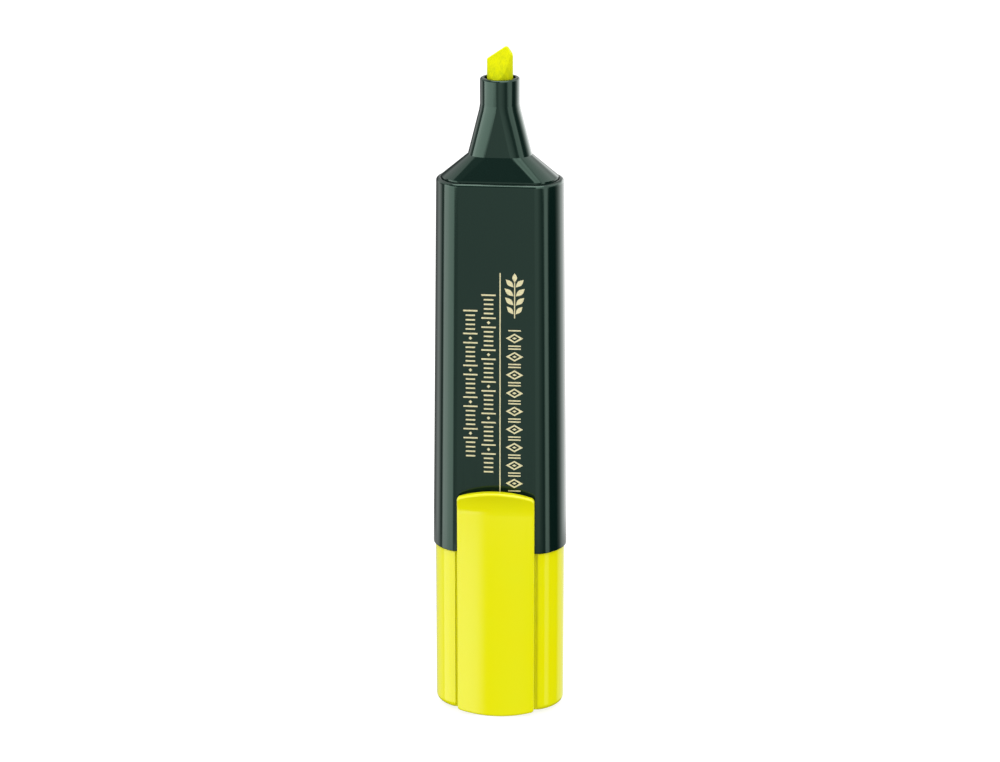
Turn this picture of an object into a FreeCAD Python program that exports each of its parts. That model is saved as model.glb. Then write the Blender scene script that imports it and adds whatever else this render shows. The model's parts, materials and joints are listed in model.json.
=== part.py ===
"""Refillable highlighter with a chisel nib, its cap pushed onto the rear end.

Frame: the origin is the middle of the cap's closed end, where the upright pen stands. +Z runs up the
pen to the nib, -Y is the clip side and +X is the side of the nib's long corner. Lengths are in millimetres.

Every part but the nib and the seal cup has the same cross-section, a flat oval: flat front and back,
rounded corners and bulging sides, all tangent to each other.
"""

import FreeCAD, Part
import math
import os

Vector = FreeCAD.Vector
UP = Vector(0, 0, 1)
X_AXIS = Vector(1, 0, 0)

OVERLAP = 0.1  # how far pieces of one moulding reach into each other before they are joined

# The flat oval: its radii, as shares of its half depth
SIDE_RADIUS_SHARE = 1.12
CORNER_RADIUS_SHARE = 0.48

# Barrel: a tapered tube, open at both ends
BARREL_REAR_Z = 34.2
BARREL_FRONT_Z = 108.7
BARREL_REAR = (13.28, 7.30)  # half width, half depth
BARREL_FRONT = (12.40, 6.80)
BARREL_WALL = 1.2
MOUTH_WALL = 0.85  # the thinner wall of the rebate at each mouth
REBATE_DEPTH = 0.9
RIM_RADIUS = 0.6
REAR_EDGE_RADIUS = 0.15
RIB_WIDTH = 0.8
RIB_X = (0.0, 6.5)  # ribs on the flat walls, mirrored
RIB_END_GAP = 0.5

# Front section: insert, shoulder and neck in one moulding
INSERT_LENGTH = 9.0
INSERT_CLEARANCE = 0.04
SNAP_BEAD_HEIGHT = 0.12
SNAP_BEAD_WIDTH = 0.8
SKIRT_GAP = 0.17
SKIRT_HEIGHT = 0.4  # above the barrel's rim
NECK_FOOT_Z = 113.4
NECK_FOOT = (6.22, 3.90)
NECK_BEND_Z = 122.1
NECK_BEND = 0.08  # how far the section has turned from round to its foot's form at the bend
NECK_STRAIGHT_Z = 123.3
NECK_TIP_Z = 128.4
NECK_RADIUS = 3.84
NECK_RIM_RADIUS = 0.4
FRONT_WALL = 1.1
NIB_TUBE_RADIUS = 3.45
HOLLOW_TOP = (4.65, 3.45)  # the moulding's inside narrows to this under the neck
NIB_BORE_CLEARANCE = 0.03
COUNTERBORE_RADIUS = 3.05
COUNTERBORE_DEPTH = 1.5
VENT_WIDTH = 0.6
VENT_REACH = 2.95
VENT_TOP_DROP = 0.5
ROUND_FRONT_ANGLE = 4.0  # on the round neck, where the foot's flat and corner end
ROUND_CORNER_ANGLE = 36.0

# Nib: a round fibre rod with a slanted wedge cut on its end
NIB_RADIUS = 2.5
NIB_CORNER = (1.35, 134.62)  # x and z of the long corner before it is rounded
NIB_TAIL_Z = 93.0
NIB_SLANT = 34.5  # degrees, the writing edge against the horizontal
NIB_EDGE_THICKNESS = 0.9
NIB_WEDGE_ANGLE = 25.0  # degrees, each face against the nib's middle plane
NIB_BACK_ANGLE = 61.0  # degrees, the short cut beyond the top corner
NIB_CORNER_RADIUS = 0.55
NIB_EDGE_RADIUS = 0.25  # felt keeps no sharp edge
NIB_TAIL_RADIUS = 0.3

# Ink reservoir: a fibre filler in a thin film, held by the barrel's ribs
RESERVOIR = (10.1, 4.8)
RESERVOIR_BOTTOM_Z = 42.4
RESERVOIR_TOP_Z = 98.2
FILM_THICKNESS = 0.2
FILM_GAP = 0.02
FILM_OVERHANG = 0.3
RIB_GAP = 0.08

# Cap: a shell, a seal cup inside it and the clip strap over its front
CAP_END_Z = 0.6
CAP_MOUTH_Z = 34.1
CAP_MOUTH = (12.84, 7.00)
CAP_END = (12.80, 6.90)
CAP_WALL = 1.15
CAP_CAVITY_FLOOR_Z = 3.2
CAP_END_RADIUS = 1.15
CAP_RIM_RADIUS = 0.15
FOOT = (8.8, 5.0)
FOOT_OVERLAP = 0.2
FOOT_EDGE_RADIUS = 0.25
CHANNEL_WIDTH = 0.6  # a groove down the cap's front beside each edge of the strap
CHANNEL_FLOOR_Y = -6.4
SOCKET_CLEARANCE = 0.1  # below the seal cup's spigot

# Rear plug: closes the barrel, and its boss holds the cap
BOSS_DEPTH = 8.2
BOSS_GAP = 0.16
BOSS_WALL = 1.2
BOSS_EDGE_RADIUS = 0.5
GRIP_RIB_HEIGHT = 0.08
GRIP_RIB_RADIUS = 0.5
GRIP_RIB_MARGIN = 1.0
GRIP_RIB_X = (-5.0, 0.0, 5.0)
PLUG_INSERT_TOP_Z = 40.9
PLUG_FLANGE_Z = 34.25
PLUG_FLANGE_INSET = 0.93
PLUG_BEAD_DROP = 2.0  # from the insert's top to its bead

# Seal cup, which closes round the neck when the cap is on the nib end
SEAL_OUTER_RADIUS = 5.05
SEAL_BORE_RADIUS = 3.92
SEAL_MOUTH_Z = 19.4
SEAL_FLOOR = 1.1
SEAL_SEAT_GAP = 0.04
SEAL_BEAD_Z = 17.2
SEAL_BEAD_HEIGHT = 0.07
SEAL_BEAD_HALF_WIDTH = 0.4
SEAL_MOUTH_RADIUS = 0.3
SEAL_LEAD_IN = (0.5, 0.6)  # width and depth
SEAL_SPIGOT_RADIUS = 1.6
SEAL_SPIGOT_LENGTH = 0.8

# Clip strap
STRAP_HALF_WIDTH = 7.65
STRAP_FRONT_Y = -9.15
STRAP_CROWN_RADIUS = 60.0  # the front is slightly convex from side to side
STRAP_BACK_Y = -7.15
TONGUE_BACK_Y = -7.62
TONGUE_ROOT_Z = 33.6
STRAP_TIP_Z = 47.4
STRAP_TIP_RISE = 1.4  # the arc's middle above its ends
STRAP_END_RISE = 1.0
STRAP_CORNER_RADIUS = 1.0
STRAP_FOOT_RADIUS = 0.7
FLARE_START_Z = 42.6
FLARE_RADIUS = 11.0
FLARE_ANGLE = 30.0  # degrees, past the strap's tip
STRAP_EDGE_RADIUS = 0.42
STRAP_BEAD_Z = 42.8
STRAP_BEAD_RADIUS = 0.6
STRAP_BEAD_HEIGHT = 0.18
STRAP_BEAD_MARGIN = 2.0  # from the strap's edge to the bead's end

# The strap's root: a rod that turns in a groove of the cap's end
HINGE_Y = -6.00
HINGE_Z = 1.95
HINGE_ROD_RADIUS = 0.60
HINGE_CLEARANCE = 0.05
HINGE_WEB = 0.7
HINGE_SLOT = 0.95
HINGE_HALF_LENGTH = 6.85
HINGE_END_GAP = 0.12


# ---- Cross-sections -------------------------------------------------------------------------------

def polar(centre_x, centre_y, radius, degrees):
    """The point at an angle that is counted from the front, -Y, towards +X."""
    angle = math.radians(degrees)
    return (centre_x + radius * math.sin(angle), centre_y - radius * math.cos(angle))


def mirrored(right_side):
    """Nine points up the right side, from front to back, made into a closed ring of sixteen."""
    left_side = [(-x, y) for x, y in reversed(right_side)]
    return right_side + left_side


def oval_points(half_width, half_depth, inset=0.0):
    """Ends and middles of the flat oval's eight edges, ordered from the front flat's right end."""
    side_radius = SIDE_RADIUS_SHARE * half_depth
    corner_radius = CORNER_RADIUS_SHARE * half_depth
    side_x = half_width - side_radius
    corner_y = half_depth - corner_radius
    reach = math.sqrt((side_radius - corner_radius) ** 2 - corner_y ** 2)
    corner_x = side_x + reach
    meet = math.degrees(math.atan2(reach, corner_y))
    corner_radius -= inset
    side_radius -= inset
    front = [
        polar(corner_x, -corner_y, corner_radius, 0),
        polar(corner_x, -corner_y, corner_radius, meet / 2),
        polar(side_x, 0, side_radius, meet),
        polar(side_x, 0, side_radius, 90),
    ]
    back = [(x, -y) for x, y in reversed(front[:3])]
    return mirrored(front + back)


def round_points(centre_x, radius, first_angle):
    """The same sixteen points on two half circles about (centre_x, 0) and its mirror image."""
    angles = [first_angle, (first_angle + ROUND_CORNER_ANGLE) / 2, ROUND_CORNER_ANGLE, 90]
    front = [polar(centre_x, 0, radius, angle) for angle in angles]
    back = [(x, -y) for x, y in reversed(front[:3])]
    return mirrored(front + back)


def stadium_points(half_width, half_depth):
    """A flat front and back joined by half circles."""
    return round_points(half_width - half_depth, half_depth, 0)


def mixed_points(first, second, share):
    """Points between two rings: share 0 is the first, 1 the second."""
    return [
        (ax + (bx - ax) * share, ay + (by - ay) * share)
        for (ax, ay), (bx, by) in zip(first, second)
    ]


def ring_wire(points, z, radius=None):
    """A closed wire at height z: six arcs, and flats at the front and back that bulge on a round ring."""
    def at(index):
        x, y = points[index % len(points)]
        return Vector(x, y, z)

    def flat(start, end, bulge):
        if radius is None:
            return Part.LineSegment(start, end).toShape()
        return Part.Arc(start, Vector(0, bulge, z), end).toShape()

    edges = [
        Part.Arc(at(0), at(1), at(2)).toShape(),
        Part.Arc(at(2), at(3), at(4)).toShape(),
        Part.Arc(at(4), at(5), at(6)).toShape(),
        flat(at(6), at(7), radius),
        Part.Arc(at(7), at(8), at(9)).toShape(),
        Part.Arc(at(9), at(10), at(11)).toShape(),
        Part.Arc(at(11), at(12), at(13)).toShape(),
        flat(at(13), at(0), None if radius is None else -radius),
    ]
    return Part.Wire(edges)


def between(low, high, share):
    """A (half width, half depth) pair part of the way from low to high."""
    return tuple(a + (b - a) * share for a, b in zip(low, high))


def barrel_size(z):
    return between(BARREL_REAR, BARREL_FRONT, (z - BARREL_REAR_Z) / (BARREL_FRONT_Z - BARREL_REAR_Z))


def cap_size(z):
    return between(CAP_END, CAP_MOUTH, (z - CAP_END_Z) / (CAP_MOUTH_Z - CAP_END_Z))


def oval_wire(size, z, inset=0.0):
    return ring_wire(oval_points(size[0], size[1], inset), z)


def loft(*wires):
    return Part.makeLoft(list(wires), True, True)


def tapered(size_at, low_z, high_z, inset=0.0):
    """A solid between two heights of a tapered casing, inset from its outside."""
    return loft(oval_wire(size_at(low_z), low_z, inset), oval_wire(size_at(high_z), high_z, inset))


def straight(size, low_z, high_z, inset=0.0):
    return Part.Face(oval_wire(size, low_z, inset)).extrude(Vector(0, 0, high_z - low_z))


def cylinder(radius, low_z, high_z):
    return Part.makeCylinder(radius, high_z - low_z, Vector(0, 0, low_z), UP)


def box(low, high):
    size = [b - a for a, b in zip(low, high)]
    return Part.makeBox(size[0], size[1], size[2], Vector(*low))


def level_edges(shape, z, tolerance=0.02):
    """Edges that lie at height z."""
    def is_level(edge):
        bounds = edge.BoundBox
        return abs(bounds.ZMin - z) < tolerance and abs(bounds.ZMax - z) < tolerance

    return [edge for edge in shape.Edges if is_level(edge)]


# ---- Pen body -------------------------------------------------------------------------------------

def make_barrel():
    shell = tapered(barrel_size, BARREL_REAR_Z, BARREL_FRONT_Z)
    shell = shell.makeFillet(RIM_RADIUS, level_edges(shell, BARREL_FRONT_Z))
    shell = shell.makeFillet(REAR_EDGE_RADIUS, level_edges(shell, BARREL_REAR_Z))
    shell = shell.cut(tapered(barrel_size, BARREL_REAR_Z, BARREL_FRONT_Z, BARREL_WALL))
    for low_z, high_z in (
        (BARREL_REAR_Z, BARREL_REAR_Z + REBATE_DEPTH),
        (BARREL_FRONT_Z - REBATE_DEPTH, BARREL_FRONT_Z),
    ):
        shell = shell.cut(tapered(barrel_size, low_z, high_z, MOUTH_WALL))
    for bead_z in snap_bead_heights():
        groove = SNAP_BEAD_WIDTH + 2 * INSERT_CLEARANCE
        inset = BARREL_WALL - SNAP_BEAD_HEIGHT
        shell = shell.cut(tapered(barrel_size, bead_z - groove / 2, bead_z + groove / 2, inset))
    return shell.fuse(barrel_ribs()).removeSplitter()


def snap_bead_heights():
    """The middles of the plug's bead and the front section's bead."""
    return (PLUG_INSERT_TOP_Z - PLUG_BEAD_DROP, BARREL_FRONT_Z - REBATE_DEPTH - INSERT_LENGTH / 2)


def snap_bead(middle_z):
    """The band round an insert that snaps into the barrel's groove."""
    half = SNAP_BEAD_WIDTH / 2
    inset = BARREL_WALL - SNAP_BEAD_HEIGHT + INSERT_CLEARANCE
    return tapered(barrel_size, middle_z - half, middle_z + half, inset)


def barrel_ribs():
    """Ribs along the inner walls, which centre the reservoir; each is rooted half way into the wall."""
    low_z = PLUG_INSERT_TOP_Z + RIB_END_GAP
    high_z = BARREL_FRONT_Z - REBATE_DEPTH - INSERT_LENGTH - RIB_END_GAP
    film_x, film_y = [half + FILM_GAP + FILM_THICKNESS + RIB_GAP for half in RESERVOIR]
    wall_x, wall_y = BARREL_REAR
    half = RIB_WIDTH / 2
    ribs = []
    for side in (-1, 1):
        for x in sorted({direction * x for x in RIB_X for direction in (-1, 1)}):
            inner, outer = sorted((side * film_y, side * wall_y))
            ribs.append(box((x - half, inner, low_z), (x + half, outer, high_z)))
        inner, outer = sorted((side * film_x, side * wall_x))
        ribs.append(box((inner, -half, low_z), (outer, half, high_z)))
    reach = tapered(barrel_size, low_z, high_z, BARREL_WALL / 2)
    return [rib.common(reach) for rib in ribs]


def front_section_outside():
    """The moulding's outer form, without its bores."""
    ledge_z = BARREL_FRONT_Z - REBATE_DEPTH
    bottom_z = ledge_z - INSERT_LENGTH
    skirt_z = BARREL_FRONT_Z + SKIRT_HEIGHT
    skirt_inset = MOUTH_WALL + SKIRT_GAP
    foot_size = [half - skirt_inset for half in BARREL_FRONT]
    insert = tapered(barrel_size, bottom_z, ledge_z + OVERLAP, BARREL_WALL + INSERT_CLEARANCE)
    skirt = straight(foot_size, ledge_z, skirt_z)
    neck_foot = stadium_points(*NECK_FOOT)
    shoulder = loft(oval_wire(foot_size, skirt_z), ring_wire(neck_foot, NECK_FOOT_Z))
    neck_round = round_points(0, NECK_RADIUS, ROUND_FRONT_ANGLE)
    bend = mixed_points(neck_round, neck_foot, NECK_BEND)
    neck = loft(
        ring_wire(neck_foot, NECK_FOOT_Z),
        ring_wire(bend, NECK_BEND_Z, NECK_RADIUS),
        ring_wire(neck_round, NECK_STRAIGHT_Z, NECK_RADIUS),
    )
    tip = cylinder(NECK_RADIUS, NECK_STRAIGHT_Z, NECK_TIP_Z)
    tip = tip.makeFillet(NECK_RIM_RADIUS, level_edges(tip, NECK_TIP_Z))
    return insert.fuse([snap_bead(snap_bead_heights()[1]), skirt, shoulder, neck, tip])


def make_front_section():
    ledge_z = BARREL_FRONT_Z - REBATE_DEPTH
    bottom_z = ledge_z - INSERT_LENGTH
    skirt_z = BARREL_FRONT_Z + SKIRT_HEIGHT
    body = front_section_outside()
    insert_inset = BARREL_WALL + INSERT_CLEARANCE + FRONT_WALL
    hollow_top_z = NECK_FOOT_Z - FRONT_WALL
    hollow = tapered(barrel_size, bottom_z, skirt_z, insert_inset).fuse(
        loft(
            oval_wire(barrel_size(skirt_z), skirt_z, insert_inset),
            oval_wire(HOLLOW_TOP, hollow_top_z),
        )
    )
    tube = cylinder(NIB_TUBE_RADIUS, bottom_z, hollow_top_z + FRONT_WALL)
    body = body.cut(hollow).fuse(tube)
    body = body.cut(cylinder(NIB_RADIUS + NIB_BORE_CLEARANCE, bottom_z - 1, NECK_TIP_Z + 1))
    counterbore = cylinder(COUNTERBORE_RADIUS, NECK_TIP_Z - COUNTERBORE_DEPTH, NECK_TIP_Z + 1)
    body = body.cut(counterbore)
    reach, half = VENT_REACH, VENT_WIDTH / 2
    vents = [
        box((-x, -y, bottom_z - 1), (x, y, NECK_TIP_Z - VENT_TOP_DROP))
        for x, y in ((reach, half), (half, reach))
    ]
    return body.cut(vents).removeSplitter()


def make_nib():
    """The rod, cut by a wedge that runs along the slanted writing edge."""
    corner = Vector(NIB_CORNER[0], 0, NIB_CORNER[1])
    rod = cylinder(NIB_RADIUS, NIB_TAIL_Z, corner.z)
    rod = rod.makeFillet(NIB_TAIL_RADIUS, level_edges(rod, NIB_TAIL_Z))
    slant = math.radians(NIB_SLANT)
    along = Vector(math.cos(slant), 0, math.sin(slant))
    across = Vector(-math.sin(slant), 0, math.cos(slant))
    depth = 60.0
    half_edge = NIB_EDGE_THICKNESS / 2
    half_base = half_edge + depth * math.tan(math.radians(NIB_WEDGE_ANGLE))
    start = corner - along * 50
    profile = [
        start + Vector(0, -half_edge, 0),
        start + Vector(0, half_edge, 0),
        start - across * depth + Vector(0, half_base, 0),
        start - across * depth + Vector(0, -half_base, 0),
    ]
    wedge = Part.Face(Part.makePolygon(profile + profile[:1])).extrude(along * 100)
    back_angle = math.radians(NIB_BACK_ANGLE)
    fall = Vector(math.cos(back_angle), 0, -math.sin(back_angle))
    beyond = [corner, corner + fall * 10, corner + fall * 10 + Vector(0, 0, 20), corner + Vector(0, 0, 20)]
    trim = Part.Face(Part.makePolygon(beyond + beyond[:1])).extrude(Vector(0, 12, 0))
    trim.translate(Vector(0, -6, 0))
    nib = rod.common(wedge).cut(trim).removeSplitter()
    top = [edge for edge in nib.Edges if edge.BoundBox.ZMin > corner.z - 0.01]
    nib = nib.makeFillet(NIB_CORNER_RADIUS, top)
    cut_edges = [edge for edge in nib.Edges if edge.BoundBox.ZMin > NIB_TAIL_Z + 1]
    return nib.makeFillet(NIB_EDGE_RADIUS, cut_edges)


def make_reservoir_core():
    core = straight(RESERVOIR, RESERVOIR_BOTTOM_Z, RESERVOIR_TOP_Z)
    return core.cut(cylinder(NIB_RADIUS + NIB_BORE_CLEARANCE, NIB_TAIL_Z - 0.1, RESERVOIR_TOP_Z + 1))


def make_reservoir_film():
    low_z = RESERVOIR_BOTTOM_Z - FILM_OVERHANG
    high_z = RESERVOIR_TOP_Z + FILM_OVERHANG
    outer = straight(RESERVOIR, low_z, high_z, -FILM_GAP - FILM_THICKNESS)
    return outer.cut(straight(RESERVOIR, low_z, high_z, -FILM_GAP))


def make_rear_plug():
    boss_low_z = CAP_MOUTH_Z - BOSS_DEPTH
    boss_inset = CAP_WALL + BOSS_GAP
    boss = tapered(cap_size, boss_low_z, PLUG_FLANGE_Z + OVERLAP, boss_inset)
    boss = boss.makeFillet(BOSS_EDGE_RADIUS, level_edges(boss, boss_low_z))
    flange = tapered(barrel_size, PLUG_FLANGE_Z, BARREL_REAR_Z + REBATE_DEPTH, PLUG_FLANGE_INSET)
    insert = tapered(barrel_size, PLUG_FLANGE_Z, PLUG_INSERT_TOP_Z, BARREL_WALL + INSERT_CLEARANCE)
    plug = boss.fuse([flange, insert, snap_bead(snap_bead_heights()[0])])
    cavity = tapered(cap_size, boss_low_z + BOSS_WALL, PLUG_INSERT_TOP_Z + 1, boss_inset + BOSS_WALL)
    ribs = grip_ribs(boss_low_z + GRIP_RIB_MARGIN, CAP_MOUTH_Z - GRIP_RIB_MARGIN)
    return plug.cut(cavity).fuse(ribs).removeSplitter()


def grip_ribs(low_z, high_z):
    """Low rounded ribs on the boss's flat faces, which rub on the cap."""
    face_y = cap_size(low_z)[1] - CAP_WALL - BOSS_GAP
    centre_y = face_y + GRIP_RIB_HEIGHT - GRIP_RIB_RADIUS
    ribs = []
    for x in GRIP_RIB_X:
        for side in (-1, 1):
            centre = Vector(x, side * centre_y, low_z)
            ribs.append(Part.makeCylinder(GRIP_RIB_RADIUS, high_z - low_z, centre, UP))
    return ribs


# ---- Cap ------------------------------------------------------------------------------------------

def hinge_rod(radius, half_length):
    start = Vector(-half_length, HINGE_Y, HINGE_Z)
    return Part.makeCylinder(radius, 2 * half_length, start, X_AXIS)


def make_cap_shell():
    shell = tapered(cap_size, CAP_END_Z, CAP_MOUTH_Z)
    shell = shell.makeFillet(CAP_END_RADIUS, level_edges(shell, CAP_END_Z))
    shell = shell.makeFillet(CAP_RIM_RADIUS, level_edges(shell, CAP_MOUTH_Z))
    foot = straight(FOOT, 0, CAP_END_Z + FOOT_OVERLAP)
    foot = foot.makeFillet(FOOT_EDGE_RADIUS, level_edges(foot, 0))
    shell = shell.fuse(foot)
    shell = shell.cut(tapered(cap_size, CAP_CAVITY_FLOOR_Z, CAP_MOUTH_Z, CAP_WALL))
    shell = shell.cut(strap_channels())
    socket_z = CAP_CAVITY_FLOOR_Z - SEAL_SPIGOT_LENGTH - SOCKET_CLEARANCE
    socket = cylinder(SEAL_SPIGOT_RADIUS + INSERT_CLEARANCE, socket_z, CAP_CAVITY_FLOOR_Z + 1)
    groove = hinge_rod(HINGE_ROD_RADIUS + HINGE_CLEARANCE, HINGE_HALF_LENGTH + HINGE_END_GAP)
    reach = HINGE_HALF_LENGTH + HINGE_END_GAP
    slot = box(
        (-reach, -CAP_MOUTH[1] - 1, HINGE_Z - HINGE_SLOT / 2),
        (reach, HINGE_Y, HINGE_Z + HINGE_SLOT / 2),
    )
    return shell.cut([socket, groove, slot]).removeSplitter()


def strap_channels():
    """Bars that cut the grooves beside the strap, through both ends of the cap."""
    inner, outer = STRAP_HALF_WIDTH, STRAP_HALF_WIDTH + CHANNEL_WIDTH
    channels = []
    for low_x, high_x in ((-outer, -inner), (inner, outer)):
        low = (low_x, -CAP_MOUTH[1] - 1, 0)
        high = (high_x, CHANNEL_FLOOR_Y, CAP_MOUTH_Z + 1)
        channels.append(box(low, high))
    return channels


def make_seal_cup():
    floor_z = CAP_CAVITY_FLOOR_Z + SEAL_SEAT_GAP
    cup = cylinder(SEAL_OUTER_RADIUS, floor_z, SEAL_MOUTH_Z)
    cup = cup.makeFillet(SEAL_MOUTH_RADIUS, level_edges(cup, SEAL_MOUTH_Z))
    cup = cup.cut(cylinder(SEAL_BORE_RADIUS, floor_z + SEAL_FLOOR, SEAL_MOUTH_Z + 1))
    width, depth = SEAL_LEAD_IN
    foot = Vector(0, 0, SEAL_MOUTH_Z - depth)
    lead_in = Part.makeCone(SEAL_BORE_RADIUS, SEAL_BORE_RADIUS + width, depth, foot, UP)
    low_z, high_z = SEAL_BEAD_Z - SEAL_BEAD_HALF_WIDTH, SEAL_BEAD_Z + SEAL_BEAD_HALF_WIDTH
    bead = cylinder(SEAL_BORE_RADIUS + OVERLAP, low_z, high_z)
    bead = bead.cut(cylinder(SEAL_BORE_RADIUS - SEAL_BEAD_HEIGHT, low_z, high_z))
    spigot = cylinder(SEAL_SPIGOT_RADIUS, floor_z - SEAL_SPIGOT_LENGTH, floor_z + OVERLAP)
    return cup.cut(lead_in).fuse([bead, spigot]).removeSplitter()


def crown(x):
    """How far the strap's front lies behind its middle at x."""
    return STRAP_CROWN_RADIUS - math.sqrt(STRAP_CROWN_RADIUS ** 2 - x ** 2)


def strap_section(back_y, z):
    """The strap's section at height z, wider than the strap: straight at the back, crowned in front."""
    half = STRAP_HALF_WIDTH + 1
    front_y = STRAP_FRONT_Y + crown(half)
    left_back, right_back = Vector(-half, back_y, z), Vector(half, back_y, z)
    left_front, right_front = Vector(-half, front_y, z), Vector(half, front_y, z)
    edges = [
        Part.LineSegment(left_front, left_back).toShape(),
        Part.LineSegment(left_back, right_back).toShape(),
        Part.LineSegment(right_back, right_front).toShape(),
        Part.Arc(right_front, Vector(0, STRAP_FRONT_Y, z), left_front).toShape(),
    ]
    return Part.Face(Part.Wire(edges))


def strap_blank():
    """A crowned bar, relieved behind the tongue, whose top bends outwards along an arc."""
    bar = strap_section(STRAP_BACK_Y, -1).extrude(Vector(0, 0, FLARE_START_Z + 1))
    half = STRAP_HALF_WIDTH + 2
    step_z = TONGUE_ROOT_Z + STRAP_BACK_Y - TONGUE_BACK_Y
    relief = [
        Vector(-half, STRAP_BACK_Y, TONGUE_ROOT_Z),
        Vector(-half, TONGUE_BACK_Y, step_z),
        Vector(-half, TONGUE_BACK_Y, FLARE_START_Z + 1),
        Vector(-half, STRAP_BACK_Y + 1, FLARE_START_Z + 1),
        Vector(-half, STRAP_BACK_Y + 1, TONGUE_ROOT_Z),
    ]
    bar = bar.cut(Part.Face(Part.makePolygon(relief + relief[:1])).extrude(Vector(2 * half, 0, 0)))
    axis_point = Vector(0, STRAP_FRONT_Y - FLARE_RADIUS, FLARE_START_Z)
    flare = strap_section(TONGUE_BACK_Y, FLARE_START_Z).revolve(axis_point, X_AXIS, FLARE_ANGLE)
    return bar.fuse(flare)


def strap_front_outline():
    """The strap seen from the front, as a face at y = 0: straight sides between a curved tip and foot."""
    half = STRAP_HALF_WIDTH
    side_top = STRAP_TIP_Z - STRAP_TIP_RISE
    left_top, right_top = Vector(-half, 0, side_top), Vector(half, 0, side_top)
    left_low, right_low = Vector(-half, 0, STRAP_END_RISE), Vector(half, 0, STRAP_END_RISE)
    edges = [
        Part.LineSegment(left_low, left_top).toShape(),
        Part.Arc(left_top, Vector(0, 0, STRAP_TIP_Z), right_top).toShape(),
        Part.LineSegment(right_top, right_low).toShape(),
        Part.Arc(right_low, Vector(0, 0, 0), left_low).toShape(),
    ]
    return Part.Face(Part.Wire(edges))


def strap_plate():
    """The strap before its edges are rounded: the bent bar limited by the front outline."""
    front = strap_front_outline()
    front.translate(Vector(0, -15, 0))
    front = front.extrude(Vector(0, 15, 0))
    tips = [edge for edge in front.Edges if is_corner_edge(edge, STRAP_TIP_Z - STRAP_TIP_RISE)]
    front = front.makeFillet(STRAP_CORNER_RADIUS, tips)
    feet = [edge for edge in front.Edges if is_corner_edge(edge, STRAP_END_RISE)]
    front = front.makeFillet(STRAP_FOOT_RADIUS, feet)
    return strap_blank().common(front)


def is_corner_edge(edge, z):
    """True for an edge that runs along Y at one of the outline's corners at height z."""
    bounds = edge.BoundBox
    return bounds.YLength > 1 and abs(bounds.ZMin - z) < 0.01 and abs(bounds.ZMax - z) < 0.01


def make_cap_clip():
    strap = strap_plate()
    strap = strap.makeFillet(STRAP_EDGE_RADIUS, [edge for edge in strap.Edges if is_front_edge(edge)])
    bead_y = TONGUE_BACK_Y - STRAP_BEAD_RADIUS + STRAP_BEAD_HEIGHT
    bead_half = STRAP_HALF_WIDTH - STRAP_BEAD_MARGIN
    bead_start = Vector(-bead_half, bead_y, STRAP_BEAD_Z)
    bead = Part.makeCylinder(STRAP_BEAD_RADIUS, 2 * bead_half, bead_start, X_AXIS)
    web = box(
        (-HINGE_HALF_LENGTH, STRAP_BACK_Y - OVERLAP, HINGE_Z - HINGE_WEB / 2),
        (HINGE_HALF_LENGTH, HINGE_Y, HINGE_Z + HINGE_WEB / 2),
    )
    rod = hinge_rod(HINGE_ROD_RADIUS, HINGE_HALF_LENGTH)
    return strap.fuse([bead, web, rod]).removeSplitter()


def is_front_edge(edge):
    """True for an edge all of which lies on the strap's outer face."""
    count = 5
    span = edge.LastParameter - edge.FirstParameter
    for index in range(count):
        point = edge.valueAt(edge.FirstParameter + span * index / (count - 1))
        distance = STRAP_FRONT_Y + crown(point.x) - point.y
        if point.z > FLARE_START_Z:
            reach = math.hypot(point.y - STRAP_FRONT_Y + FLARE_RADIUS, point.z - FLARE_START_Z)
            distance = FLARE_RADIUS + crown(point.x) - reach
        if abs(distance) > 0.02:
            return False
    return True


# ---- Export ---------------------------------------------------------------------------------------

PARTS = {
    "barrel": make_barrel,
    "front_section": make_front_section,
    "nib": make_nib,
    "reservoir_core": make_reservoir_core,
    "reservoir_film": make_reservoir_film,
    "rear_plug": make_rear_plug,
    "cap_shell": make_cap_shell,
    "seal_cup": make_seal_cup,
    "cap_clip": make_cap_clip,
}


def main():
    os.makedirs("parts", exist_ok=True)
    for name, make in PARTS.items():
        shape = make()
        solids = shape.Solids
        part = solids[0] if len(solids) == 1 else Part.makeCompound(solids)
        bounds = part.optimalBoundingBox()
        print(
            f"{name:16s} solids {len(solids)}  valid {part.isValid()}  volume {part.Volume:9.1f}"
            f"  x {bounds.XMin:7.2f} {bounds.XMax:6.2f}  y {bounds.YMin:6.2f} {bounds.YMax:5.2f}"
            f"  z {bounds.ZMin:7.2f} {bounds.ZMax:7.2f}"
        )
        part.exportStep(f"parts/{name}.step")


main()
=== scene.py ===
"""Looks of a refillable highlighter that stands nib up, its cap pushed onto the rear end.

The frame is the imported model's: metres, +Z up along the pen, -Y towards the clip, +X towards the nib's long
corner. Sizes below are in millimetres and are turned into metres where meshes are made.
"""

import json
import math

import bmesh
import bpy
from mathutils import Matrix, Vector
from mathutils.bvhtree import BVHTree


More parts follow.
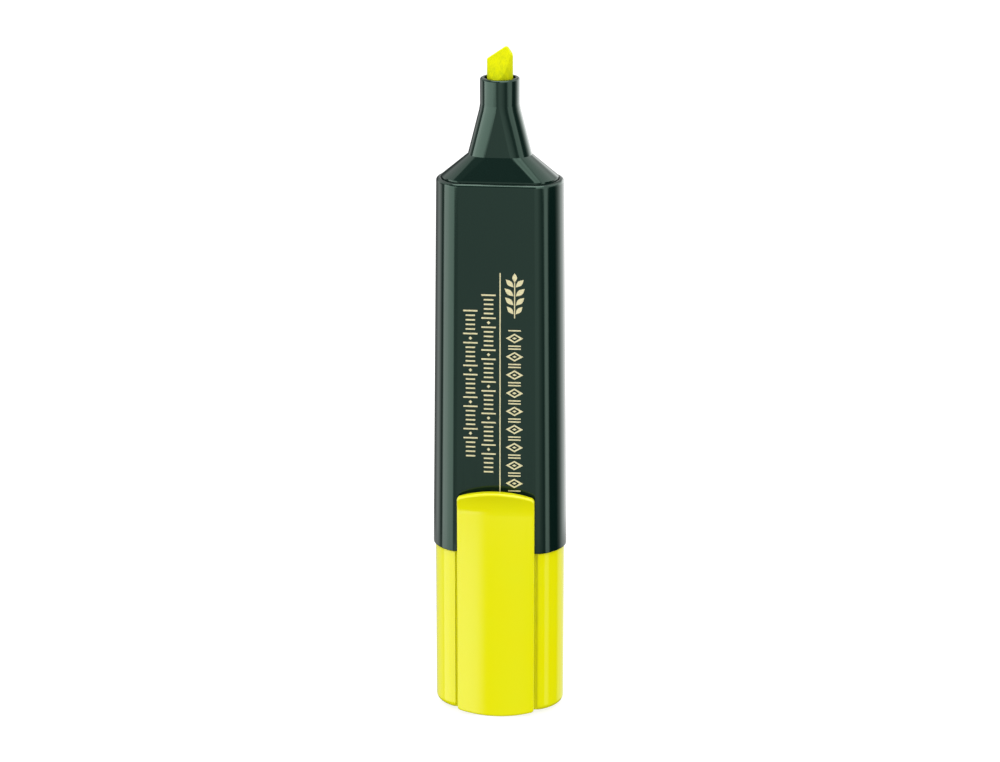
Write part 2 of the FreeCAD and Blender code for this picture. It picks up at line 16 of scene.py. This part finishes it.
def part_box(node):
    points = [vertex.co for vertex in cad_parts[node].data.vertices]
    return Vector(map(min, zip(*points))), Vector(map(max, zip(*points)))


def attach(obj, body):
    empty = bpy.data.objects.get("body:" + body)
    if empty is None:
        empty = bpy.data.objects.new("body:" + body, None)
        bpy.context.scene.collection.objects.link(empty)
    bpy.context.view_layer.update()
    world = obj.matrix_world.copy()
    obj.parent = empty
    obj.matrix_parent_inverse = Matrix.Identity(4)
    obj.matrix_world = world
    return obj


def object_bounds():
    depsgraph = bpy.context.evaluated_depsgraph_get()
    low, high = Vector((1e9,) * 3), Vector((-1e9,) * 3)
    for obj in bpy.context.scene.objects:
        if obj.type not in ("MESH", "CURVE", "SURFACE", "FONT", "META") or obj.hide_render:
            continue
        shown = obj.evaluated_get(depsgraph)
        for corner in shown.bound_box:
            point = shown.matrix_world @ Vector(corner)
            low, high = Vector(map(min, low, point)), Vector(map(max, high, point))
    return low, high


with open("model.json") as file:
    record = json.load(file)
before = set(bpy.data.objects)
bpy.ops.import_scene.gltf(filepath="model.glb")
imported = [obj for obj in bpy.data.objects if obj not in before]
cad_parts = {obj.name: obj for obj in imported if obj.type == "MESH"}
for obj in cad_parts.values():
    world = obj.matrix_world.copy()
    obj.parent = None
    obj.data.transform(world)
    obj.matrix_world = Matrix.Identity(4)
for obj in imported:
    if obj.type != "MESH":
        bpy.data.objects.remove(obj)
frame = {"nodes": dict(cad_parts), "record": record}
cad_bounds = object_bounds()
nodes = frame["nodes"]

MM = 0.001

# Imprint: gold foil on the barrel's flat front. X across, and distances down from the barrel's front rim.
FOIL_THICKNESS = 0.02
RULE_X = 0.75
RULE_WIDTH = 0.22
RULE_SPAN = (17.3, 62.0)
SPRIG_X = (1.6, 5.55)
SPRIG_SPAN = (17.3, 26.3)
LARGE_ROW_X = (1.6, 5.55)
LARGE_ROW_SPAN = (28.5, 61.8)
SMALL_ROWS = (
    ((-2.9, -0.1), (21.8, 57.7)),
    ((-6.45, -3.65), (25.0, 54.5)),
)

# Sprig: a stem with one leaf at its tip and pairs of leaves below, a pitch apart
SPRIG_PAIRS = 4
STEM_WIDTH = 0.2
FIRST_PAIR = 1.55  # from the sprig's top to the first pair's roots, in pitches
LEAF_ROOT_X = 0.2  # from the stem's middle
LEAF_RISE = 0.85  # from root to tip, in pitches
LEAF_REACH = 0.72  # the least reach of a leaf, as a share of the sprig's half width
LEAF_PHASE = 0.8  # how far above the first pair the leaves' swelling starts, in pairs
LEAF_STEPS = 7
LEAF_POINT = 1.2  # above 1, a leaf's ends are drawn out
LEAF_FULLNESS = 0.22  # widest half width over length
TIP_LEAF_FULLNESS = 0.26

# Large row: open lozenges a pitch apart, with a small lozenge inside each and a bar on either side
LOZENGES = 9
LOZENGE_SHARE = (0.86, 0.52)  # of the row's width, and of the pitch
LOZENGE_INSET = (0.672, 0.315)  # from its outer to its inner corners, across and along the pen
CORE_SHARE = (0.22, 0.13)  # the small lozenge's, of the row's width and of the pitch
SIDE_BAR_PLACE = 0.42  # from the lozenge's centre, in pitches
SIDE_BAR_SHARE = 0.62  # of the row's width
SIDE_BAR_WIDTH = 0.26

# Small rows: groups of strokes with a dot between groups
GROUP_STROKES = 6
STROKE_PITCH = 0.92
STROKE_WIDTH = 0.3
SHORT_STROKE_SHARE = 0.66  # of the row's width
DOT_SIZE = 0.7

# Camera: a little to the pen's right and a little above it, aimed at its middle
CAMERA_AZIMUTH = 6.0
CAMERA_ELEVATION = 17.0
CAMERA_DISTANCE = 670
CAMERA_LENS = 122.5
CAMERA_SENSOR = 36
CAMERA_NEAR = 10
CAMERA_RISE = 0.3  # the aim point above the pen's middle

FLOOR_SIZE = 6000
FLOOR_DROP = 0.02  # under the pen's foot


# ---- Node helpers ---------------------------------------------------------------------------------

def new_material(name):
    """A material and its node tree, with only a Principled shader and the output."""
    material = bpy.data.materials.new(name)
    material.use_nodes = True
    tree = material.node_tree
    return material, tree, tree.nodes["Principled BSDF"]


def add_node(tree, kind, inputs=None, **settings):
    """A node whose inputs are constants, or links when the value is another node's socket."""
    node = tree.nodes.new(kind)
    for name, value in settings.items():
        setattr(node, name, value)
    for name, value in (inputs or {}).items():
        if isinstance(value, bpy.types.NodeSocket):
            tree.links.new(value, node.inputs[name])
        else:
            node.inputs[name].default_value = value
    return node


def noise(tree, scale, detail=3.0, roughness=0.5, stretch=(1, 1, 1)):
    """Noise over object space. The scale is in features per metre, and stretch multiplies it per axis."""
    place = add_node(tree, "ShaderNodeTexCoord")
    mapping = add_node(tree, "ShaderNodeMapping", {"Vector": place.outputs["Object"], "Scale": stretch})
    inputs = {"Vector": mapping.outputs["Vector"], "Scale": scale, "Detail": detail, "Roughness": roughness}
    return add_node(tree, "ShaderNodeTexNoise", inputs).outputs["Fac"]


def between(tree, factor, low, high, start=0.3, end=0.7):
    """A number that runs from low to high as factor runs from start to end."""
    inputs = {"Value": factor, "From Min": start, "From Max": end, "To Min": low, "To Max": high}
    return add_node(tree, "ShaderNodeMapRange", inputs).outputs["Result"]


def blend_colours(tree, factor, first, second, start=0.3, end=0.7):
    """A colour that turns from first to second as factor runs from start to end."""
    ramp = add_node(tree, "ShaderNodeValToRGB", {"Fac": factor})
    ramp.color_ramp.elements[0].position = start
    ramp.color_ramp.elements[0].color = (*first, 1)
    ramp.color_ramp.elements[1].position = end
    ramp.color_ramp.elements[1].color = (*second, 1)
    return ramp.outputs["Color"]


def add_bump(tree, shader, height, distance, strength=1.0):
    """A bump whose height runs over a distance in millimetres."""
    inputs = {"Height": height, "Distance": distance * MM, "Strength": strength}
    bump = add_node(tree, "ShaderNodeBump", inputs)
    tree.links.new(bump.outputs["Normal"], shader.inputs["Normal"])


def add_share(tree, first, second, share):
    """first plus a share of second."""
    inputs = {0: second, 1: share, 2: first}
    return add_node(tree, "ShaderNodeMath", inputs, operation="MULTIPLY_ADD").outputs["Value"]


# ---- Materials ------------------------------------------------------------------------------------

def body_plastic():
    """Glossy, very dark green moulded plastic with faint mould swirl, orange peel and hairline scuffs."""
    material, tree, shader = new_material("body_plastic")
    swirl = noise(tree, 90, stretch=(1, 1, 0.35))
    colour = blend_colours(tree, swirl, (0.0027, 0.0108, 0.0084), (0.0036, 0.0130, 0.0102))
    tree.links.new(colour, shader.inputs["Base Color"])
    scuffs = noise(tree, 900, detail=6, roughness=0.7, stretch=(1, 1, 0.03))
    tree.links.new(between(tree, scuffs, 0.05, 0.12, 0.45, 0.75), shader.inputs["Roughness"])
    add_bump(tree, shader, noise(tree, 500, detail=2), 0.002)
    shader.inputs["IOR"].default_value = 1.5
    shader.inputs["Specular Tint"].default_value = (0.66, 1.0, 0.81, 1)
    return material


def cap_plastic():
    """Semi-gloss fluorescent yellow plastic, a little cloudy, with a soft moulded skin."""
    material, tree, shader = new_material("cap_plastic")
    cloud = noise(tree, 110, detail=2)
    colour = blend_colours(tree, cloud, (0.862, 0.832, 0.001), (0.842, 0.84, 0.003))
    tree.links.new(colour, shader.inputs["Base Color"])
    skin = noise(tree, 1500, detail=5, roughness=0.65)
    tree.links.new(between(tree, skin, 0.06, 0.11), shader.inputs["Roughness"])
    add_bump(tree, shader, add_share(tree, noise(tree, 400, detail=2), skin, 0.15), 0.002)
    shader.inputs["IOR"].default_value = 1.45
    return material


def seal_plastic():
    """Milky, waxy polyethylene."""
    material, tree, shader = new_material("seal_plastic")
    cloud = noise(tree, 200, detail=3)
    colour = blend_colours(tree, cloud, (0.74, 0.74, 0.70), (0.82, 0.82, 0.78))
    tree.links.new(colour, shader.inputs["Base Color"])
    tree.links.new(between(tree, noise(tree, 1200), 0.38, 0.5), shader.inputs["Roughness"])
    add_bump(tree, shader, noise(tree, 800), 0.006)
    return material


def nib_felt():
    """Bonded fibre soaked with ink: fine strands along the rod, with painted shade darkening it towards the
    neck.
    """
    material, tree, shader = new_material("nib_felt")
    place = add_node(tree, "ShaderNodeTexCoord")
    height = add_node(tree, "ShaderNodeSeparateXYZ", {"Vector": place.outputs["Object"]}).outputs["Z"]
    neck_z, tip_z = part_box("front_section")[1].z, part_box("nib")[1].z
    # painted shade: the nib's colour darkens from halfway up down to the neck, as if the neck shaded it
    painted_neck_shade = between(tree, height, -0.3, 0, neck_z, (neck_z + tip_z) / 2)
    strands = noise(tree, 5200, detail=5, roughness=0.7, stretch=(1, 1, 0.12))
    clumps = noise(tree, 1400, detail=3, stretch=(1, 1, 0.4))
    mixed = add_share(tree, strands, clumps, 0.6)
    fibre_and_painted_shade = add_share(tree, mixed, painted_neck_shade, 1)
    colour = blend_colours(tree, fibre_and_painted_shade, (0.50, 0.57, 0.0), (0.75, 0.765, 0.0), 0.4, 0.9)
    tree.links.new(colour, shader.inputs["Base Color"])
    tree.links.new(between(tree, clumps, 0.55, 0.85), shader.inputs["Roughness"])
    add_bump(tree, shader, mixed, 0.06, 0.5)
    shader.inputs["Specular IOR Level"].default_value = 0.1
    return material


def reservoir_fibre():
    """Loose ink-soaked filler fibre."""
    material, tree, shader = new_material("reservoir_fibre")
    strands = noise(tree, 2600, detail=5, roughness=0.7, stretch=(1, 1, 0.06))
    colour = blend_colours(tree, strands, (0.60, 0.68, 0.02), (0.88, 0.92, 0.10))
    tree.links.new(colour, shader.inputs["Base Color"])
    tree.links.new(between(tree, strands, 0.8, 0.95), shader.inputs["Roughness"])
    add_bump(tree, shader, strands, 0.15, 0.8)
    return material


def reservoir_film():
    """Thin clear wrap, a little hazy and creased."""
    material, tree, shader = new_material("reservoir_film")
    haze = noise(tree, 300, detail=4)
    colour = blend_colours(tree, haze, (0.80, 0.83, 0.74), (0.90, 0.91, 0.86))
    tree.links.new(colour, shader.inputs["Base Color"])
    tree.links.new(between(tree, haze, 0.12, 0.3), shader.inputs["Roughness"])
    add_bump(tree, shader, noise(tree, 160, detail=4, stretch=(1, 1, 0.2)), 0.05, 0.5)
    shader.inputs["Alpha"].default_value = 0.35
    return material


def imprint_foil():
    """Pale gold hot foil, pinholed and slightly worn."""
    material, tree, shader = new_material("imprint_foil")
    wear = noise(tree, 2600, detail=5, roughness=0.7)
    colour = blend_colours(tree, wear, (0.86, 0.79, 0.48), (0.68, 0.61, 0.35), 0.42, 0.72)
    tree.links.new(colour, shader.inputs["Base Color"])
    tree.links.new(between(tree, wear, 0.32, 0.5), shader.inputs["Roughness"])
    add_bump(tree, shader, wear, 0.01, 0.6)
    shader.inputs["Metallic"].default_value = 0.55
    return material


def floor_paper():
    """Seamless white studio paper, with a glow of its own that keeps it white up to the horizon."""
    material, tree, shader = new_material("floor_paper")
    fibre = noise(tree, 60, detail=4)
    colour = blend_colours(tree, fibre, (0.29, 0.29, 0.29), (0.31, 0.31, 0.305))
    tree.links.new(colour, shader.inputs["Base Color"])
    shader.inputs["Roughness"].default_value = 0.9
    shader.inputs["Specular IOR Level"].default_value = 0.0
    shader.inputs["Emission Color"].default_value = (1, 1, 1, 1)
    shader.inputs["Emission Strength"].default_value = 0.78
    return material


def dress_nodes():
    """Gives each CAD node the material of its slot in the record."""
    makers = (body_plastic, cap_plastic, seal_plastic, nib_felt, reservoir_fibre, reservoir_film)
    materials = {maker.__name__: maker() for maker in makers}
    for subpart in frame["record"]["subparts"]:
        mesh = nodes[subpart["node"]].data
        mesh.materials.clear()
        mesh.materials.append(materials[subpart["material_slot"]])


# ---- Imprint --------------------------------------------------------------------------------------

def barrel_front():
    """A function that gives the front face's y at a height, read off the barrel's own mesh."""
    barrel = nodes["barrel"].data
    tree = BVHTree.FromPolygons([v.co for v in barrel.vertices], [p.vertices for p in barrel.polygons])
    low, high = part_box("barrel")

    def at(z):
        start = Vector((0, 2 * low.y, z))  # well in front of the barrel
        return tree.ray_cast(start, Vector((0, 1, 0)))[0].y

    third = (high.z - low.z) / 3
    low_z, high_z = low.z + third, high.z - third
    low_y, high_y = at(low_z), at(high_z)
    slope = (high_y - low_y) / (high_z - low_z)
    return lambda z: low_y + slope * (z - low_z)


def foil_marks(foil, name, outlines):
    """One piece of foil from closed outlines, each a list of (x, distance below the rim) in millimetres."""
    rim_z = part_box("barrel")[1].z
    face_y = barrel_front()
    mesh = bpy.data.meshes.new(name)
    build = bmesh.new()
    for outline in outlines:
        rings = []
        for lift in (0, FOIL_THICKNESS * MM):
            ring = []
            for x, drop in outline:
                z = rim_z - drop * MM
                ring.append(build.verts.new((x * MM, face_y(z) - lift, z)))
            rings.append(ring)
        build.faces.new(rings[1])
        for index in range(len(outline)):
            after = (index + 1) % len(outline)
            corners = (rings[0][index], rings[0][after], rings[1][after], rings[1][index])
            build.faces.new(corners)
    bmesh.ops.recalc_face_normals(build, faces=build.faces)
    build.to_mesh(mesh)
    build.free()
    mesh.materials.append(foil)
    piece = bpy.data.objects.new(name, mesh)
    bpy.context.scene.collection.objects.link(piece)
    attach(piece, "pen")


def bar(x, drop, width, length):
    """A bar centred on a point, width across the pen and length along it."""
    half_x, half_z = width / 2, length / 2
    return [(x - half_x, drop - half_z), (x + half_x, drop - half_z),
            (x + half_x, drop + half_z), (x - half_x, drop + half_z)]


def lozenge(x, drop, width, length):
    """A lozenge centred on a point."""
    half_x, half_z = width / 2, length / 2
    return [(x, drop - half_z), (x + half_x, drop), (x, drop + half_z), (x - half_x, drop)]


def leaf(root, tip, fullness):
    """A pointed leaf from root to tip whose widest half width is fullness times its length."""
    (x0, z0), (x1, z1) = root, tip
    dx, dz = x1 - x0, z1 - z0
    sides = []
    for sign in (1, -1):
        side = []
        for step in range(1, LEAF_STEPS):
            share = step / LEAF_STEPS
            bulge = sign * fullness * math.sin(math.pi * share) ** LEAF_POINT
            side.append((x0 + dx * share - dz * bulge, z0 + dz * share + dx * bulge))
        sides.append(side)
    return [root] + sides[0] + [tip] + sides[1][::-1]


def sprig_outlines():
    """An emblem of plain leaves in pairs along a stem."""
    middle = sum(SPRIG_X) / 2
    reach = (SPRIG_X[1] - SPRIG_X[0]) / 2
    top, bottom = SPRIG_SPAN
    pitch = (bottom - top) / (SPRIG_PAIRS + 1)
    outlines = [bar(middle, (top + bottom) / 2 + pitch / 2, STEM_WIDTH, bottom - top - pitch)]
    outlines.append(leaf((middle, top + pitch), (middle, top), TIP_LEAF_FULLNESS))
    for index in range(SPRIG_PAIRS):
        root_drop = top + pitch * (index + FIRST_PAIR)
        tip_drop = root_drop - LEAF_RISE * pitch
        swell = math.sin(math.pi * (index + LEAF_PHASE) / SPRIG_PAIRS)
        size = reach * (LEAF_REACH + (1 - LEAF_REACH) * swell)
        for side in (-1, 1):
            root = (middle + side * LEAF_ROOT_X, root_drop)
            outlines.append(leaf(root, (middle + side * size, tip_drop), LEAF_FULLNESS))
    return outlines


def large_row_outlines():
    """An ornament band: open lozenges between pairs of thin bars."""
    left, right = LARGE_ROW_X
    middle, width = (left + right) / 2, right - left
    start, end = LARGE_ROW_SPAN
    pitch = (end - start) / LOZENGES
    outlines = []
    for index in range(LOZENGES):
        centre = start + pitch * (index + 0.5)
        outlines += lozenge_frame(middle, centre, width * LOZENGE_SHARE[0], pitch * LOZENGE_SHARE[1])
        outlines.append(lozenge(middle, centre, width * CORE_SHARE[0], pitch * CORE_SHARE[1]))
        for side in (-1, 1):
            place = centre + side * pitch * SIDE_BAR_PLACE
            outlines.append(bar(middle, place, width * SIDE_BAR_SHARE, SIDE_BAR_WIDTH))
    return outlines


def lozenge_frame(x, drop, width, length):
    """An open lozenge as four slanted strips."""
    outer = lozenge(x, drop, width, length)
    inner = lozenge(x, drop, width - 2 * LOZENGE_INSET[0], length - 2 * LOZENGE_INSET[1])
    strips = []
    for index in range(4):
        after = (index + 1) % 4
        strips.append([outer[index], outer[after], inner[after], inner[index]])
    return strips


def small_row_outlines(across, span):
    """A row of thin strokes in groups, each with a long stroke at both ends, and a dot between groups."""
    left, right = across
    middle, width = (left + right) / 2, right - left
    start, end = span
    count = int((end - start) / STROKE_PITCH)
    outlines = []
    for index in range(count + 1):
        drop = start + (end - start) * index / count
        place = index % (GROUP_STROKES + 1)
        if place == GROUP_STROKES:
            outlines.append(lozenge(middle, drop, DOT_SIZE, DOT_SIZE))
            continue
        share = 1.0 if place in (0, GROUP_STROKES - 1) else SHORT_STROKE_SHARE
        outlines.append(bar(middle, drop, width * share, STROKE_WIDTH))
    return outlines


def make_imprint():
    """Five pieces of foil: a rule, a sprig, a large row beside it and two small rows on its other side."""
    foil = imprint_foil()
    top, bottom = RULE_SPAN
    rule = bar(RULE_X, (top + bottom) / 2, RULE_WIDTH, bottom - top)
    foil_marks(foil, "imprint_rule", [rule])
    foil_marks(foil, "imprint_sprig", sprig_outlines())
    foil_marks(foil, "imprint_large_row", large_row_outlines())
    for number, (across, span) in enumerate(SMALL_ROWS, 1):
        foil_marks(foil, f"imprint_small_row_{number}", small_row_outlines(across, span))


# ---- Stage ----------------------------------------------------------------------------------------

def make_floor():
    """Paper that shows behind the pen and takes its shadow, and isn't mirrored in it."""
    mesh = bpy.data.meshes.new("floor")
    half = FLOOR_SIZE / 2 * MM
    corners = [(-half, -half, 0), (half, -half, 0), (half, half, 0), (-half, half, 0)]
    mesh.from_pydata(corners, [], [(0, 1, 2, 3)])
    mesh.materials.append(floor_paper())
    floor = bpy.data.objects.new("floor", mesh)
    floor.location.z = -FLOOR_DROP * MM
    floor.visible_glossy = False
    floor.visible_diffuse = False
    floor.visible_shadow = False
    bpy.context.scene.collection.objects.link(floor)


# What glossy surfaces mirror: rings of softboxes and dark flags, one per band of height. A stop is (azimuth
# from the front in degrees, brightness), from behind on the left, past the front, to behind on the right.
CAP_RING = (
    (-180, 0.4), (-122, 0.7), (-108, 0.7), (-101, 0.4), (-97, 2.1), (-60, 2.1), (-36, 2.1), (-28, 1.6),
    (-22, 2.6), (-19, 2.7), (-13.5, 2.2), (-10, 0.05), (-7, 0.1), (4, 0.25), (10, 0.0), (64, 0.0),
    (68, 0.9), (78, 0.9), (82, 0.0), (114, 0.0), (125, 0.8), (180, 1.0),
)
BARREL_RING = (
    (-180, 0.8), (-172, 0.6), (-164, 0.1), (-140, 0.3), (-122, 1.3), (-113, 1.0), (-107, 0.3),
    (-100, 0.05), (-95, 3.1), (-60, 3.0), (-38, 2.8), (-30, 0.45), (-15, 0.58), (-7, 0.74), (6, 1.0),
    (16, 1.0), (28, 0.62), (45, 0.25), (55, 0.15), (60, 2.1), (75, 2.1), (78, 0.0), (105, 0.0), (116, 0.5),
    (124, 1.1), (136, 1.9), (164, 2.0), (172, 0.9), (180, 0.8),
)
NECK_RING = (
    (-180, 0.8), (-172, 0.6), (-164, 0.1), (-145, 0.1), (-125, 1.3), (-108, 0.3), (-97, 0.2), (-93, 4.2),
    (-60, 3.7), (-28, 3.3), (-20, 2.6), (-13, 0.5), (-7, 0.8), (4, 1.2), (16, 1.0), (28, 0.6), (37, 0.2),
    (47, 0.4), (52, 1.8), (76, 2.0), (82, 0.1), (100, 0.05), (112, 0.7), (128, 2.6), (150, 3.0), (164, 2.6),
    (172, 0.9), (180, 0.8),
)
SHOULDER_RING = (
    (-180, 0.3), (-122, 1.2), (-96, 1.3), (-90, 0.25), (-20, 0.28), (-6, 0.16), (3, 0.3), (10, 3.2),
    (30, 2.7), (60, 2.2), (78, 2.0), (84, 1.0), (90, 1.8), (140, 1.9), (160, 0.6), (180, 0.3),
)
FLOOR_BRIGHTNESS = 0.06
TOP_BRIGHTNESS = 5.0
# Where one band turns into the next, in degrees of elevation
FLOOR_TO_CAP = (-28, -25)
CAP_TO_BARREL = (-19.4, -18.9)
BARREL_TO_NECK = (-12.9, -12.3)
NECK_TO_SHOULDER = (10, 22)
SHOULDER_TO_TOP = (58, 64)
# The soft light on everything that isn't mirrored: from below, from above, and from the left and the right
SOFT_BELOW = 0.2
SOFT_ABOVE = 1.85
SOFT_LEFT = 1.02
SOFT_RIGHT = 0.92


def ring_light(tree, turn, stops):
    """Brightness round the pen, from (azimuth, brightness) stops; turn runs from 0 to 1 over them."""
    ramp = add_node(tree, "ShaderNodeValToRGB", {"Fac": turn})
    elements = ramp.color_ramp.elements
    peak = max(brightness for _, brightness in stops)
    while len(elements) < len(stops):
        elements.new(0.5)
    for element, (azimuth, brightness) in zip(elements, stops):
        element.position = (azimuth + 180) / 360
        element.color = (brightness / peak,) * 3 + (1,)
    inputs = {0: ramp.outputs["Color"], 1: peak}
    return add_node(tree, "ShaderNodeMath", inputs, operation="MULTIPLY").outputs["Value"]


def blend_numbers(tree, factor, first, second):
    """first where factor is 0, second where it is 1."""
    return add_node(tree, "ShaderNodeMix", {"Factor": factor, "A": first, "B": second}).outputs["Result"]


def above(tree, direction, limits):
    """0 below the first elevation, 1 above the second, in degrees."""
    start, end = [math.sin(math.radians(limit)) for limit in limits]
    return between(tree, direction["Z"], 0, 1, start, end)


def mirrored_light(tree, direction):
    """The softboxes, flags and top light that glossy surfaces mirror."""
    front = add_node(tree, "ShaderNodeMath", {0: direction["Y"], 1: -1.0}, operation="MULTIPLY")
    inputs = {0: direction["X"], 1: front.outputs["Value"]}
    angle = add_node(tree, "ShaderNodeMath", inputs, operation="ARCTAN2").outputs["Value"]
    turn = between(tree, angle, 0, 1, -math.pi, math.pi)
    light = FLOOR_BRIGHTNESS
    bands = (
        (FLOOR_TO_CAP, CAP_RING),
        (CAP_TO_BARREL, BARREL_RING),
        (BARREL_TO_NECK, NECK_RING),
        (NECK_TO_SHOULDER, SHOULDER_RING),
    )
    for limits, stops in bands:
        light = blend_numbers(tree, above(tree, direction, limits), light, ring_light(tree, turn, stops))
    return blend_numbers(tree, above(tree, direction, SHOULDER_TO_TOP), light, TOP_BRIGHTNESS)


def soft_light(tree, direction):
    """The even light of a white tent, a little stronger from above and from the left."""
    height = between(tree, direction["Z"], SOFT_BELOW, SOFT_ABOVE, -1, 1)
    side = between(tree, direction["X"], SOFT_LEFT, SOFT_RIGHT, -1, 1)
    return add_node(tree, "ShaderNodeMath", {0: height, 1: side}, operation="MULTIPLY").outputs["Value"]


def make_studio():
    """World light: a soft tent, softboxes and dark flags to mirror, and a white backdrop to the eye."""
    world = bpy.data.worlds.new("studio")
    world.use_nodes = True
    bpy.context.scene.world = world
    tree = world.node_tree
    place = add_node(tree, "ShaderNodeTexCoord")
    direction = add_node(tree, "ShaderNodeSeparateXYZ", {"Vector": place.outputs["Generated"]}).outputs
    path = add_node(tree, "ShaderNodeLightPath").outputs
    soft, mirrored = soft_light(tree, direction), mirrored_light(tree, direction)
    tent = blend_numbers(tree, path["Is Glossy Ray"], soft, mirrored)
    strength = blend_numbers(tree, path["Is Camera Ray"], tent, 1.0)
    background = tree.nodes["Background"]
    background.inputs["Color"].default_value = (1, 1, 1, 1)
    tree.links.new(strength, background.inputs["Strength"])


def make_camera():
    """A long lens from the front, aimed at the pen's middle."""
    data = bpy.data.cameras.new("camera")
    data.lens = CAMERA_LENS
    data.sensor_width = CAMERA_SENSOR
    data.clip_start = CAMERA_NEAR * MM
    camera = bpy.data.objects.new("camera", data)
    bpy.context.scene.collection.objects.link(camera)
    low, high = cad_bounds
    target = Vector((0, 0, (low[2] + high[2]) / 2 + CAMERA_RISE * MM))
    azimuth, elevation = math.radians(CAMERA_AZIMUTH), math.radians(CAMERA_ELEVATION)
    back = Vector((
        math.sin(azimuth) * math.cos(elevation),
        -math.cos(azimuth) * math.cos(elevation),
        math.sin(elevation),
    ))
    camera.location = target + back * CAMERA_DISTANCE * MM
    camera.rotation_euler = back.to_track_quat("Z", "Y").to_euler()
    bpy.context.scene.camera = camera
    bpy.context.scene.view_settings.view_transform = "Standard"


dress_nodes()
make_imprint()
make_floor()
make_studio()
make_camera()
